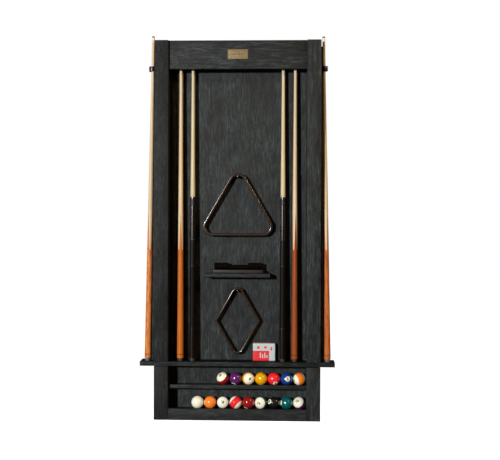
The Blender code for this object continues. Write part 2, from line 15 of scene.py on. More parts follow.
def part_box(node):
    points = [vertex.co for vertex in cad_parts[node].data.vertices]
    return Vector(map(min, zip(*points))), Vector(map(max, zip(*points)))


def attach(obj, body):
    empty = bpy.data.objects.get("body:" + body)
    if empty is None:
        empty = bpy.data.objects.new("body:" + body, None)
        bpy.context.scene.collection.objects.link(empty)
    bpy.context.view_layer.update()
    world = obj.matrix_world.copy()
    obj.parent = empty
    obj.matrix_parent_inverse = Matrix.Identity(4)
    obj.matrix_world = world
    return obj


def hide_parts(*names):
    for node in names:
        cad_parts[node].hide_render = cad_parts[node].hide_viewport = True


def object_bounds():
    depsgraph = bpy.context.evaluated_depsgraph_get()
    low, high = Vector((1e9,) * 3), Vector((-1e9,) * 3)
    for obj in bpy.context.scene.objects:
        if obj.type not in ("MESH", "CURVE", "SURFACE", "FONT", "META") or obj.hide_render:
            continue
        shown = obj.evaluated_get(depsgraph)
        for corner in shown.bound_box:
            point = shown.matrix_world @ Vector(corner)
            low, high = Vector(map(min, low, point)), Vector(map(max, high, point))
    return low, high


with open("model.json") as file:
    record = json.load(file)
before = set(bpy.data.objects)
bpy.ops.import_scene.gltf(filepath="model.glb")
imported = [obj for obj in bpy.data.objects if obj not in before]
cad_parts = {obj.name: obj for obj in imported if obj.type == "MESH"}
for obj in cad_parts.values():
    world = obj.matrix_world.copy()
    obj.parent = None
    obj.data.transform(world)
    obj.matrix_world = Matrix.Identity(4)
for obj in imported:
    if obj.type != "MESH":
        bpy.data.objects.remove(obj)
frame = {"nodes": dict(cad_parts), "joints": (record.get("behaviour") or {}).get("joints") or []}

CAD_LOW, CAD_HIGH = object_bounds()
LIFT_AXIS = {joint["child"]: Vector(joint["axis"]) for joint in frame["joints"]}
FACE_ROOM = Matrix.Rotation(math.pi / 2, 4, "X")
CLEARANCE = 0.0003
MERGE = 0.00001
SMOOTH_BELOW = math.radians(32)


# Materials ------------------------------

class Finish:
    """One procedural material: a Principled shader and the nodes that feed it."""

    def __init__(self, name, specular=0.5, coat=0.0, coat_roughness=0.03, metallic=0.0):
        self.material = bpy.data.materials.new(name)
        self.material.use_nodes = True
        self.tree = self.material.node_tree
        self.shader = self.tree.nodes["Principled BSDF"]
        for socket, value in (("Specular IOR Level", specular), ("Coat Weight", coat),
                              ("Coat Roughness", coat_roughness), ("Metallic", metallic)):
            self.shader.inputs[socket].default_value = value

    def feed(self, socket, value):
        if isinstance(value, bpy.types.NodeSocket):
            self.tree.links.new(value, socket)
        else:
            socket.default_value = value

    def add(self, kind, inputs=None, **settings):
        """Add a node whose inputs are constants or other nodes' outputs."""
        node = self.tree.nodes.new("ShaderNode" + kind)
        for setting, value in settings.items():
            setattr(node, setting, value)
        for socket, value in (inputs or {}).items():
            self.feed(node.inputs[socket], value)
        return node

    def place(self):
        """The piece's own coordinates."""
        return self.add("TexCoord").outputs["Object"]

    def axes(self, vector=None):
        """X, Y and Z of a vector, or of the piece's own coordinates."""
        return self.add("SeparateXYZ", {0: vector or self.place()}).outputs

    def own(self, attribute):
        """A number that the piece carries."""
        return self.add("Attribute", attribute_name=attribute).outputs["Fac"]

    def space(self, stretch):
        """The piece's own coordinates, shifted by its variation and stretched on each axis."""
        shifted = self.add("VectorMath", {0: self.place(), 1: self.own("variation")}, operation="ADD")
        return self.add("Mapping", {"Vector": shifted.outputs[0], "Scale": stretch}).outputs[0]

    def noise(self, scale, detail=4.0, roughness=0.5, distortion=0.0, stretch=(1, 1, 1)):
        """Noise over the piece's own space; a stretch under 1 draws it out along that axis."""
        inputs = {"Vector": self.space(stretch), "Scale": scale, "Detail": detail,
                  "Roughness": roughness, "Distortion": distortion}
        return self.add("TexNoise", inputs).outputs[0]

    def maths(self, operation, *values):
        return self.add("Math", dict(enumerate(values)), operation=operation).outputs[0]

    def step(self, value, start, end):
        """0 at the start, 1 at the end, smooth between; the start may be the larger."""
        inputs = {"Value": value, "From Min": start, "From Max": end}
        return self.add("MapRange", inputs, interpolation_type="SMOOTHSTEP").outputs[0]

    def spread(self, value, low, high):
        """A value from 0 to 1 spread between two limits."""
        return self.add("MapRange", {"Value": value, "To Min": low, "To Max": high}).outputs[0]

    def ramp(self, factor, *stops):
        node = self.add("ValToRGB", {"Fac": factor})
        elements = node.color_ramp.elements
        elements.remove(elements[1])
        elements[0].position = stops[0][0]
        elements[0].color = (*stops[0][1], 1)
        for position, colour in stops[1:]:
            elements.new(position).color = (*colour, 1)
        return node.outputs[0]

    def mix(self, factor, first, second, blend="MIX"):
        """Blend two colours, each a socket or an RGB triple."""
        colours = [c if isinstance(c, bpy.types.NodeSocket) else (*c, 1) for c in (first, second)]
        inputs = {0: factor, 6: colours[0], 7: colours[1]}
        node = self.add("Mix", inputs, data_type="RGBA", blend_type=blend)
        return node.outputs[2]

    def bump(self, height, distance, strength=1.0, under=None):
        inputs = {"Height": height, "Distance": distance, "Strength": strength}
        if under is not None:
            inputs["Normal"] = under
        return self.add("Bump", inputs).outputs[0]

    def shade(self, colour=None, roughness=None, normal=None):
        """Connect the shader and return the finished material."""
        for socket, value in (("Base Color", colour), ("Roughness", roughness), ("Normal", normal)):
            if value is not None:
                self.feed(self.shader.inputs[socket], value)
        return self.material


def black_wood(name, grain_axis, specular=0.20):
    """Black-stained open-grain timber, wire-brushed along the grain, with painted shade on the faces
    that point up.
    """
    finish = Finish(name, specular)

    def along_grain(stretch):
        return [stretch if axis == grain_axis else 1 for axis in range(3)]

    figure = finish.noise(30, 6, 0.68, 1.2, stretch=along_grain(0.22))
    streaks = finish.noise(170, 5, 0.68, 0.3, stretch=along_grain(0.10))
    fibres = finish.noise(900, 3, 0.6, stretch=along_grain(0.04))
    patches = finish.noise(7.0, 5, 0.68, 0.5)
    knots = finish.step(finish.noise(26, 2, 0.5, 1.8, stretch=along_grain(0.22)), 0.70, 0.79)
    pores = finish.step(finish.noise(420, 3, 0.55, 0.4, stretch=along_grain(0.10)), 0.36, 0.47)
    colour = finish.ramp(streaks, (0.30, (0.0050, 0.0068, 0.0074)), (0.50, (0.0154, 0.0203, 0.0216)),
                         (0.70, (0.0402, 0.0518, 0.0546)))
    tone = finish.ramp(figure, (0.30, (0.34, 0.34, 0.34)), (0.50, (1.0, 1.0, 1.0)),
                       (0.72, (1.80, 1.78, 1.76)))
    colour = finish.mix(1.0, colour, tone, "MULTIPLY")
    second_tone = finish.ramp(patches, (0.33, (0.66, 0.66, 0.67)), (0.67, (1.34, 1.34, 1.33)))
    colour = finish.mix(1.0, colour, second_tone, "MULTIPLY")
    colour = finish.mix(finish.spread(pores, 0.75, 0.0), colour, (0.005, 0.0052, 0.0052))
    colour = finish.mix(finish.spread(knots, 0.0, 0.7), colour, (0.004, 0.0042, 0.0042))
    # Each board is painted darker, towards black, by its own share
    colour = finish.mix(finish.own("darkening"), colour, (0, 0, 0))
    # Painted shade: faces that point up are painted darker, nearly black where they are level
    upward = finish.axes(finish.add("NewGeometry").outputs["Normal"])[2]
    colour = finish.mix(finish.spread(upward, 0.0, 0.9), colour, (0, 0, 0))
    roughness = finish.spread(streaks, 0.46, 0.72)
    grooves = finish.bump(pores, 0.0006, 0.6)
    normal = finish.bump(fibres, 0.0004, 0.35, grooves)
    normal = finish.bump(streaks, 0.0012, 0.5, normal)
    return finish.shade(colour, roughness, normal)


def maple(name, light, dark):
    """Clear-lacquered straight-grained shaft wood, its grain along Z."""
    finish = Finish(name, specular=0.3, coat=0.08, coat_roughness=0.3)
    return finish.shade(*maple_layers(finish, light, dark))


def maple_layers(finish, light, dark):
    """The colour, roughness and normal of straight-grained pale wood."""
    streaks = finish.noise(520, 4, 0.6, stretch=(1, 1, 0.02))
    bands = finish.noise(110, 3, 0.5, 0.4, stretch=(1, 1, 0.012))
    colour = finish.mix(finish.step(streaks, 0.35, 0.72), light, dark)
    colour = finish.mix(finish.spread(bands, 0.0, 0.35), colour, dark)
    normal = finish.bump(streaks, 0.0001, 0.5)
    return colour, finish.spread(streaks, 0.42, 0.56), normal


def rosewood_layers(finish, light, dark):
    """The colour of streaked and mottled orange-brown wood."""
    streaks = finish.noise(260, 5, 0.65, 0.5, stretch=(1, 1, 0.05))
    mottle = finish.noise(90, 4, 0.6, 1.2, stretch=(1, 1, 0.25))
    colour = finish.ramp(streaks, (0.30, dark), (0.55, light), (0.80, [c * 1.25 for c in light]))
    return finish.mix(finish.step(mottle, 0.45, 0.75), colour, dark)


# The splice along a cue's axis, above its foot: four points that widen from their tips, with
# the shaft wood's own points ending blunt at the bottom
SPLICE_TOP, SPLICE_REACH = 0.668, 0.165
SPLICE_TAPER, SPLICE_BLUNTNESS = 0.66, 60.0


def spliced_wood(name, light, dark):
    """A rosewood butt with pale points of shaft wood that run down into it between its own."""
    finish = Finish(name, specular=0.2, coat=0.05, coat_roughness=0.25)
    butt = rosewood_layers(finish, light, dark)
    shaft, roughness, normal = maple_layers(finish, PALE_WOOD, [c * 0.8 for c in PALE_WOOD])
    x, y, z = finish.axes()[:3]
    quarter = math.pi / 2
    angle = finish.maths("ADD", finish.maths("ARCTAN2", y, x), 4 * quarter + quarter / 2)
    within = finish.maths("ABSOLUTE", finish.maths("SUBTRACT", finish.maths("MODULO", angle, quarter),
                                                   quarter / 2))
    depth = finish.maths("DIVIDE", finish.maths("SUBTRACT", SPLICE_TOP, z), SPLICE_REACH)
    taper = finish.maths("MULTIPLY", depth, SPLICE_TAPER)
    blunt_end = finish.maths("MULTIPLY", finish.maths("POWER", depth, SPLICE_BLUNTNESS),
                             1 - SPLICE_TAPER)
    half_width = finish.maths("MULTIPLY", finish.maths("ADD", taper, blunt_end), quarter / 2)
    edge = finish.maths("SUBTRACT", half_width, within)
    veneer = finish.mix(finish.step(edge, -0.06, -0.01), shaft, dark)
    colour = finish.mix(finish.step(edge, 0.0, 0.03), veneer, butt)
    return finish.shade(colour, roughness, normal)


def lacquer(name, colour, roughness=0.18, coat=0.5, specular=0.5):
    """A sprayed and polished coat with faint orange peel."""
    finish = Finish(name, specular, coat, coat_roughness=0.14)
    cloud = finish.noise(60, 3)
    peel = finish.noise(260, 2)
    shade = finish.mix(finish.spread(cloud, 0, 1), colour, [c * 1.5 for c in colour])
    return finish.shade(shade, finish.spread(cloud, roughness, roughness * 1.6),
                        finish.bump(peel, 0.0001, 0.03))


def rack_wood(name, front):
    """Dark lacquered wood with a painted highlight: brown along its front face and edges, where the
    light catches them.
    """
    finish = Finish(name, coat=0.35, coat_roughness=0.12)
    grain = finish.noise(150, 5, 0.6, 0.8, stretch=(1, 0.2, 1))
    colour = finish.ramp(grain, (0.3, (0.006, 0.0035, 0.0025)), (0.7, (0.015, 0.0075, 0.005)))
    # Painted highlight: this brown stands for the light that catches the front face and its rounded
    # edges
    second_tone = finish.ramp(grain, (0.3, (0.010, 0.0062, 0.0036)), (0.7, (0.028, 0.0170, 0.0095)))
    # Painted highlight mask: full at the front face, gone about three millimetres back, broken into
    # patches below
    painted_highlight = finish.step(finish.axes()[1], front + 0.0032, front + 0.0010)
    patchy = finish.spread(finish.noise(45, 3), 0.55, 1.0)
    colour = finish.mix(finish.maths("MULTIPLY", painted_highlight, patchy), colour, second_tone)
    return finish.shade(colour, finish.spread(grain, 0.20, 0.32), finish.bump(grain, 0.0002, 0.12))


def brown_wood(name):
    """Stained and waxed brush back, its grain along X."""
    finish = Finish(name, specular=0.3, coat=0.12, coat_roughness=0.2)
    grain = finish.noise(300, 5, 0.62, 0.5, stretch=(0.06, 1, 1))
    colour = finish.ramp(grain, (0.28, (0.0048, 0.0046, 0.0044)), (0.52, (0.0104, 0.0101, 0.0096)),
                         (0.75, (0.0200, 0.0190, 0.0176)))
    return finish.shade(colour, finish.spread(grain, 0.34, 0.5), finish.bump(grain, 0.0003, 0.4))


def metal(name, colour, dark, roughness, scale=240, metallic=1.0):
    """Brushed metal with patches of tarnish."""
    finish = Finish(name, metallic=metallic)
    brushed = finish.noise(2200, 2, stretch=(0.06, 1, 1))
    tarnish = finish.noise(scale, 5, 0.65)
    shade = finish.mix(finish.step(tarnish, 0.38, 0.72), colour, dark)
    rough = finish.maths("ADD", finish.spread(tarnish, roughness - 0.08, roughness + 0.14),
                         finish.spread(brushed, -0.05, 0.05))
    return finish.shade(shade, rough, finish.bump(brushed, 0.0001, 0.25))


def moulded(name, colour, roughness, grain=900.0, depth=0.0002):
    """Moulded rubber or plastic with a fine tool texture."""
    finish = Finish(name)
    speck = finish.noise(grain, 3, 0.6)
    cloud = finish.noise(70, 3)
    shade = finish.mix(cloud, colour, [c * 1.6 for c in colour])
    return finish.shade(shade, finish.spread(speck, roughness - 0.06, roughness + 0.08),
                        finish.bump(speck, depth, 0.35))


def linen(name):
    """Black wrap thread wound round the grip, flecked with grey."""
    finish = Finish(name, specular=0.10)
    height = finish.axes()[2]
    turns = finish.maths("SINE", finish.maths("MULTIPLY", height, math.tau / 0.0011))
    fleck = finish.noise(800, 3, 0.7, stretch=(1, 1, 0.6))
    colour = finish.ramp(fleck, (0.45, (0.0022, 0.0018, 0.0015)), (0.75, (0.0080, 0.0066, 0.0058)))
    return finish.shade(colour, finish.spread(fleck, 0.45, 0.60), finish.bump(turns, 0.0002, 0.2))


def hair(name):
    """Dark horsehair with browner strands."""
    finish = Finish(name, specular=0.12)
    strand = finish.noise(900, 2, stretch=(1, 1, 0.15))
    colour = finish.ramp(strand, (0.3, (0.0014, 0.0010, 0.0007)), (0.7, (0.0060, 0.0034, 0.0022)))
    return finish.shade(colour, finish.spread(strand, 0.45, 0.7))


def leather(name):
    """Tanned leather of a cue tip, matt and open-grained."""
    finish = Finish(name)
    grain = finish.noise(1500, 4, 0.65)
    colour = finish.ramp(grain, (0.3, (0.12, 0.055, 0.028)), (0.7, (0.25, 0.13, 0.075)))
    return finish.shade(colour, 0.8, finish.bump(grain, 0.0003, 0.5))


def card(name, colour, coat=0.1):
    """Printed carton board with a thin varnish and faint fibre."""
    finish = Finish(name, specular=0.3, coat=coat, coat_roughness=0.25)
    fibre = finish.noise(1300, 4, 0.6, stretch=(1, 1, 0.5))
    smudge = finish.noise(40, 3)
    shade = finish.mix(finish.spread(fibre, 0, 0.5), colour, [c * 0.86 for c in colour])
    shade = finish.mix(finish.spread(smudge, 0, 0.25), shade, [c * 0.8 for c in colour])
    return finish.shade(shade, finish.spread(fibre, 0.42, 0.58), finish.bump(fibre, 0.0001, 0.3))


def resin(name, colour, pole_colour, pole_height):
    """Polished ball resin; beyond a share of the radius along local Z it takes the pole's colour."""
    finish = Finish(name, specular=0.7, coat=0.5, coat_roughness=0.09)
    unit = finish.add("VectorMath", {0: finish.place()}, operation="NORMALIZE").outputs[0]
    height = finish.maths("ABSOLUTE", finish.axes(unit)[2])
    swirl = finish.noise(55, 4, 0.6, 0.7)
    body = finish.mix(finish.spread(swirl, 0, 0.5), colour, [c * 0.84 for c in colour])
    pole = finish.mix(finish.spread(swirl, 0, 0.4), pole_colour, [c * 0.92 for c in pole_colour])
    shade = finish.mix(finish.step(height, pole_height - 0.004, pole_height + 0.004), body, pole)
    scuffs = finish.noise(600, 3, 0.7, stretch=(1, 1, 0.3))
    return finish.shade(shade, finish.spread(scuffs, 0.08, 0.15), finish.bump(swirl, 0.0001, 0.03))


PALE_WOOD = (0.66, 0.53, 0.34)
WOOD_UPRIGHT = black_wood("black_wood_upright", 2)
WOOD_ACROSS = black_wood("black_wood_across", 0)
SHELF_WOOD = black_wood("black_wood_shelf", 0, 0.12)
MAPLE = maple("maple", PALE_WOOD, (0.52, 0.37, 0.20))
PALE_MAPLE = maple("pale_maple", (0.60, 0.54, 0.35), (0.47, 0.39, 0.22))
BLACK_GLOSS = lacquer("black_lacquer", (0.0050, 0.0038, 0.0030))
BROWN_GLOSS = lacquer("brown_black_lacquer", (0.0042, 0.0024, 0.0017), 0.26, 0.05, 0.18)
SATIN_BLACK = lacquer("satin_black_lacquer", (0.0040, 0.0034, 0.0036), 0.34, 0.0, 0.12)
LINEN = linen("grip_wrap")
RUBBER = moulded("bumper_rubber", (0.060, 0.075, 0.090), 0.55)
DARK_RUBBER = moulded("dark_bumper_rubber", (0.016, 0.014, 0.015), 0.62)
RING_PLASTIC = moulded("ring_plastic", (0.0035, 0.0032, 0.0030), 0.34, 300.0, 0.0001)
BRASS = metal("aged_brass", (0.235, 0.175, 0.078), (0.150, 0.110, 0.050), 0.60, metallic=0.4)
DARK_BRASS = metal("dark_brass", (0.060, 0.044, 0.022), (0.030, 0.022, 0.012), 0.5, metallic=0.5)
STEEL = metal("collar_steel", (0.105, 0.098, 0.086), (0.060, 0.056, 0.050), 0.26)
COLLAR_IVORY = moulded("collar_ivory", (0.34, 0.29, 0.22), 0.40, 600, 0.00005)
SMOKED_STEEL = metal("smoked_steel", (0.034, 0.038, 0.050), (0.016, 0.018, 0.024), 0.42,
                     metallic=0.8)
ZINC = metal("zinc_plate", (0.55, 0.56, 0.55), (0.36, 0.37, 0.36), 0.38, 90)
IVORY = moulded("ferrule_ivory", (0.52, 0.48, 0.41), 0.40, 600, 0.00005)
LEATHER = leather("tip_leather")
BRUSH_WOOD = brown_wood("brush_wood")
HAIR = hair("brush_hair")
CARD_WHITE = card("card_white", (0.465, 0.550, 0.580))
CARD_RED = card("card_red", (0.68, 0.024, 0.030))
CARD_KRAFT = card("card_kraft", (0.55, 0.36, 0.23), 0.0)
INK = moulded("number_ink", (0.010, 0.010, 0.012), 0.2, 400, 0.00002)


# Mesh helpers ------------------------------

def finished_mesh(name, bm):
    """A bmesh as a mesh, its normals outward."""
    bmesh.ops.recalc_face_normals(bm, faces=bm.faces)
    mesh = bpy.data.meshes.new(name)
    bm.to_mesh(mesh)
    bm.free()
    return mesh


def add_object(name, data):
    """A new object in the scene."""
    obj = bpy.data.objects.new(name, data)
    bpy.context.scene.collection.objects.link(obj)
    return obj


def add_piece(name, bm, materials, body, replaces, matrix=None, variation=0.0, darkening=0.0,
              smooth=SMOOTH_BELOW):
    """Turn a bmesh into a piece that rides on a body and stands in for the CAD nodes it replaces."""
    mesh = finished_mesh(name, bm)
    for material in materials:
        mesh.materials.append(material)
    for attribute, value in (("variation", variation), ("darkening", darkening)):
        data = mesh.attributes.new(attribute, "FLOAT", "POINT").data
        data.foreach_set("value", [value] * len(mesh.vertices))
    mesh.shade_smooth()
    mesh.set_sharp_from_angle(angle=smooth)
    obj = add_object(name, mesh)
    if matrix is not None:
        obj.matrix_world = matrix
    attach(obj, body)
    if replaces:
        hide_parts(*replaces)


def placed(bm, matrix):
    """A bmesh after it has been moved by a matrix."""
    bmesh.ops.transform(bm, matrix=matrix, verts=bm.verts)
    return bm


def moved(bm, offset):
    """A bmesh after it has been moved by an offset."""
    return placed(bm, Matrix.Translation(offset))


def slit(bm, point, normal):
    """Divide a bmesh's faces along a plane."""
    bmesh.ops.bisect_plane(bm, geom=bm.verts[:] + bm.edges[:] + bm.faces[:], plane_co=point,
                           plane_no=normal)


def block(low, high, edge):
    """A squared block with rounded edges."""
    bm = bmesh.new()
    bmesh.ops.create_cube(bm, size=1.0)
    bmesh.ops.scale(bm, vec=high - low, verts=bm.verts)
    bmesh.ops.translate(bm, vec=(low + high) / 2, verts=bm.verts)
    bmesh.ops.bevel(bm, geom=bm.edges[:], offset=edge, segments=3, profile=0.5, affect="EDGES")
    return bm


def prism(outline, low, high, edge=0.0, segments=3, round_sides=False):
    """An XY outline raised from one height to another; its cap edges are rounded."""
    bm = bmesh.new()
    bottom = bm.faces.new([bm.verts.new((x, y, low)) for x, y in outline])
    bmesh.ops.recalc_face_normals(bm, faces=bm.faces)
    raised = bmesh.ops.extrude_face_region(bm, geom=[bottom], use_keep_orig=True)["geom"]
    top = [item for item in raised if isinstance(item, bmesh.types.BMVert)]
    bmesh.ops.translate(bm, vec=(0, 0, high - low), verts=top)
    if edge:
        picked = [e for e in bm.edges
                  if round_sides or abs(e.verts[0].co.z - e.verts[1].co.z) < MERGE]
        bmesh.ops.bevel(bm, geom=picked, offset=edge, segments=segments, profile=0.5,
                        affect="EDGES")
    return bm


def turned(profile, steps=48):
    """A solid turned about Z from (radius, height) points, bottom to top, that end on the axis."""
    bm = bmesh.new()
    verts = [bm.verts.new((radius, 0, height)) for radius, height in profile]
    edges = [bm.edges.new(pair) for pair in zip(verts, verts[1:])]
    bmesh.ops.spin(bm, geom=verts + edges, axis=(0, 0, 1), cent=(0, 0, 0), angle=math.tau,
                   steps=steps, use_merge=True)
    bmesh.ops.remove_doubles(bm, verts=bm.verts, dist=MERGE)
    return bm


def arc(centre, radius, start, end, steps):
    """Points along an arc, both ends included; angles in degrees."""
    angles = [math.radians(start + (end - start) * i / steps) for i in range(steps + 1)]
    return [(centre[0] + radius * math.cos(a), centre[1] + radius * math.sin(a)) for a in angles]


def rounded_outline(corners, radii, steps=10):
    """A convex outline, anticlockwise, with its own radius at each corner."""
    points = []
    for i, corner in enumerate(corners):
        here = Vector(corner)
        if radii[i] == 0:
            points.append(tuple(here))
            continue
        back = (Vector(corners[i - 1]) - here).normalized()
        ahead = (Vector(corners[(i + 1) % len(corners)]) - here).normalized()
        half_angle = back.angle(ahead) / 2
        centre = here + (back + ahead).normalized() * (radii[i] / math.sin(half_angle))
        tangent = here + back * (radii[i] / math.tan(half_angle)) - centre
        start = math.degrees(math.atan2(tangent.y, tangent.x))
        sweep = 180 - 2 * math.degrees(half_angle)
        points += arc(centre, radii[i], start, start + sweep, steps)
    return points


def rectangle(x, y, radius, steps=6):
    """A rounded rectangle between a low and a high limit on each axis."""
    corners = ((x[0], y[0]), (x[1], y[0]), (x[1], y[1]), (x[0], y[1]))
    return rounded_outline(corners, (radius,) * 4, steps)


def hoop(outer, inner, wall, depth, edge):
    """A closed frame in XY between matching loops, its section a rounded rectangle across Z."""
    section = rectangle((0, wall), (-depth / 2, depth / 2), edge, 4)
    bm = bmesh.new()
    rings = []
    for (ox, oy), (ix, iy) in zip(outer, inner):
        ring = []
        for across, height in section:
            share = across / wall
            ring.append(bm.verts.new((ix + (ox - ix) * share, iy + (oy - iy) * share, height)))
        rings.append(ring)
    for ring, following in zip(rings, rings[1:] + rings[:1]):
        for i, vert in enumerate(ring):
            bm.faces.new((ring[i - 1], vert, following[i], following[i - 1]))
    return bm


def joined(*parts):
    """One bmesh that holds several."""
    whole = bmesh.new()
    for part in parts:
        mesh = finished_mesh("part", part)
        whole.from_mesh(mesh)
        bpy.data.meshes.remove(mesh)
    return whole


def combine(bm, tool, operation):
    """Cut a tool out of a bmesh, or unite the two; the cut edges stay crisp."""
    objects = [add_object("boolean", finished_mesh("boolean", part)) for part in (bm, tool)]
    modifier = objects[0].modifiers.new("Boolean", "BOOLEAN")
    modifier.operation = operation
    modifier.object = objects[1]
    bpy.context.view_layer.update()
    result = bmesh.new()
    result.from_object(objects[0], bpy.context.evaluated_depsgraph_get())
    for obj in objects:
        bpy.data.objects.remove(obj)
    if not result.faces:
        raise ValueError("the boolean left nothing")
    return result


# Case ------------------------------

BOARD_EDGE = 0.0018
BATTEN_EDGE = 0.0010
BATTEN_FLANGE_DEPTH = 0.020
BATTEN_FLANGE_TAPER = 0.0095
TONGUE_FOOT_WIDTH, TONGUE_TIP_WIDTH = 0.0147, 0.0042
TONGUE_TOP = 0.700
SOCKET_RADIUS, SOCKET_EASE = 0.0175, 0.0008
BALL_SHELF_LIP = 0.006
RING_BORE, RING_RIM = 0.0093, 0.0155
RING_OFFSET = 0.0018
RING_FOOT_HALF_WIDTH, RING_FOOT_OVERLAP = 0.0055, 0.0022
# How much darker than the panel each board is painted
UPRIGHT_BOARDS = {"left_upper_stile": 0.54, "right_upper_stile": 0.06, "left_lower_stile": 0.50,
                  "right_lower_stile": 0.08}
LEVEL_BOARDS = {"top_rail": 0.12, "bottom_rail": 0.16, "lower_ball_board": 0.2, "brush_shelf": 0.0}


def build_boards():
    """Solid boards with softened edges, a little different in tone from board to board."""
    for group, material in ((UPRIGHT_BOARDS, WOOD_UPRIGHT), (LEVEL_BOARDS, WOOD_ACROSS)):
        for i, (node, darkening) in enumerate(group.items()):
            low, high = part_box(node)
            add_piece(f"{node}_board", block(low, high, BOARD_EDGE), [material], "case", [node],
                      variation=3.1 * i, darkening=darkening)


def side_box(node):
    """A side fitting's box, with the limits that face towards and away from the case."""
    low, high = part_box(node)
    inner, outer = (high.x, low.x) if high.x < 0 else (low.x, high.x)
    return low, high, inner, outer


def build_side_battens():
    """A flange behind each outer cue and a tapered tongue between that cue and the case."""
    for side, inward, darkening in (("left", 1, 0.3), ("right", -1, 0.1)):
        node = f"{side}_side_batten"
        low, high, inner, outer = side_box(node)
        shapes = {
            "flange": (outer, outer + inward * BATTEN_FLANGE_TAPER, high.z, 0, BATTEN_FLANGE_DEPTH),
            "tongue": (inner - inward * TONGUE_FOOT_WIDTH, inner - inward * TONGUE_TIP_WIDTH,
                       TONGUE_TOP, BATTEN_FLANGE_DEPTH, -low.y),
        }
        for part, (foot, tip, top, rear, front) in shapes.items():
            outline = [(inner, low.z), (foot, low.z), (tip, top), (inner, top)]
            board = placed(prism(outline, rear, front, BATTEN_EDGE, round_sides=True), FACE_ROOM)
            add_piece(f"{node}_{part}", board, [WOOD_UPRIGHT], "case", [node],
                      variation=5.3, darkening=darkening)


def build_cue_shelf():
    """The through shelf: notched round the back panel and counterbored for each bumper."""
    low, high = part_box("cue_shelf")
    inner_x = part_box("right_upper_stile")[0].x
    notch_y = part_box("back_panel")[0].y - CLEARANCE
    outline = [(low.x, low.y), (high.x, low.y), (high.x, high.y), (inner_x, high.y),
               (inner_x, notch_y), (-inner_x, notch_y), (-inner_x, high.y), (low.x, high.y)]
    shelf = prism(outline, low.z, high.z, BOARD_EDGE, round_sides=True)
    sockets = []
    for cue in CUES:
        bumper_low, bumper_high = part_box(f"{cue}_bumper")
        foot = (bumper_low + bumper_high) / 2
        floor = bumper_low.z - CLEARANCE
        rim = high.z + SOCKET_EASE
        profile = [(0, floor), (SOCKET_RADIUS, floor), (SOCKET_RADIUS, high.z - SOCKET_EASE),
                   (SOCKET_RADIUS + 2 * SOCKET_EASE, rim), (0, rim)]
        sockets.append(moved(turned(profile, 64), (foot.x, foot.y, 0)))
    shelf = combine(shelf, joined(*sockets), "DIFFERENCE")
    add_piece("cue_shelf_board", shelf, [SHELF_WOOD], "case", ["cue_shelf"],
              variation=7.7, darkening=0.16)


def build_ball_shelf():
    """The upper ball shelf: a rebated floor behind a rounded lip."""
    low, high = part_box("ball_shelf")
    behind_lip = low.y + BALL_SHELF_LIP
    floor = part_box("ball_15")[0].z - CLEARANCE
    side = [(low.y, low.z), (high.y, low.z), (high.y, floor), (behind_lip, floor),
            (behind_lip, high.z), (low.y, high.z)]
    along_x = Matrix(((0, 0, 1), (1, 0, 0), (0, 1, 0))).to_4x4()
    shelf = placed(prism(side, low.x, high.x, 0.0012, round_sides=True), along_x)
    add_piece("ball_shelf_board", shelf, [WOOD_ACROSS], "case", ["ball_shelf"],
              variation=9.2, darkening=0.14)


def dress_kept_nodes():
    """The panel, the guide bar and the hangers keep their CAD shape and take a finish."""
    for node, material in (("back_panel", WOOD_UPRIGHT), ("cue_guide_bar", WOOD_ACROSS),
                           ("left_keyhole_hanger", ZINC), ("right_keyhole_hanger", ZINC)):
        obj = frame["nodes"][node]
        obj.data.materials.clear()
        obj.data.materials.append(material)


def build_rings():
    """Moulded rings, screwed to the case's sides, that hold the outer cues upright."""
    for side, inward in (("left", 1), ("right", -1)):
        node = f"{side}_cue_ring"
        low, high, near, far = side_box(node)
        centre = Vector((far + inward * RING_RIM, (low.y + high.y) / 2, (low.z + high.z) / 2))
        outer = arc((0, 0), RING_RIM, 0, 360, 48)[:-1]
        inner = arc((inward * RING_OFFSET, 0), RING_BORE, 0, 360, 48)[:-1]
        ring = hoop(outer, inner, RING_RIM - RING_BORE, high.z - low.z, 0.0013)
        foot_x = sorted((inward * (RING_RIM - RING_FOOT_OVERLAP), near - centre.x))
        foot_y = (-RING_FOOT_HALF_WIDTH, RING_FOOT_HALF_WIDTH)
        half_height = (high.z - low.z) / 2 - 0.0006
        foot = prism(rectangle(foot_x, foot_y, 0.0005), -half_height, half_height, 0.0004)
        add_piece(f"{node}_moulding", combine(ring, foot, "UNION"), [RING_PLASTIC], "case", [node],
                  Matrix.Translation(centre), variation=1.3)


def build_pegs():
    """Round pegs with an eased nose, set into the back panel."""
    nose_length = 0.002
    for node in ("triangle_peg", "diamond_peg"):
        low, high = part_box(node)
        radius = (high.x - low.x) / 2
        shoulder = high.y - low.y - nose_length
        angles = [math.radians(a) for a in range(90, -1, -15)]
        nose = [(radius * math.sin(a), shoulder + nose_length * math.cos(a)) for a in angles]
        centre = Vector(((low.x + high.x) / 2, high.y, (low.z + high.z) / 2))
        add_piece(f"{node}_dowel", turned([(0, 0), (radius, 0)] + nose, 32), [BLACK_GLOSS], "case",
                  [node], Matrix.Translation(centre) @ FACE_ROOM)


# Nameplate: its border, and its rows of pips as height, count, half length and half height
PLATE_CORNER = 0.002
BORDER_INSET, BORDER_WIDTH, BORDER_CORNER = 0.003, 0.0012, 0.0025
PIN_INSET = 0.0062
PIP_ROW_LENGTH = 0.060
PIP_ROWS = ((0.0095, 9, 0.0022, 0.0018), (-0.0005, 9, 0.0021, 0.0064),
            (-0.0115, 15, 0.0018, 0.0012))


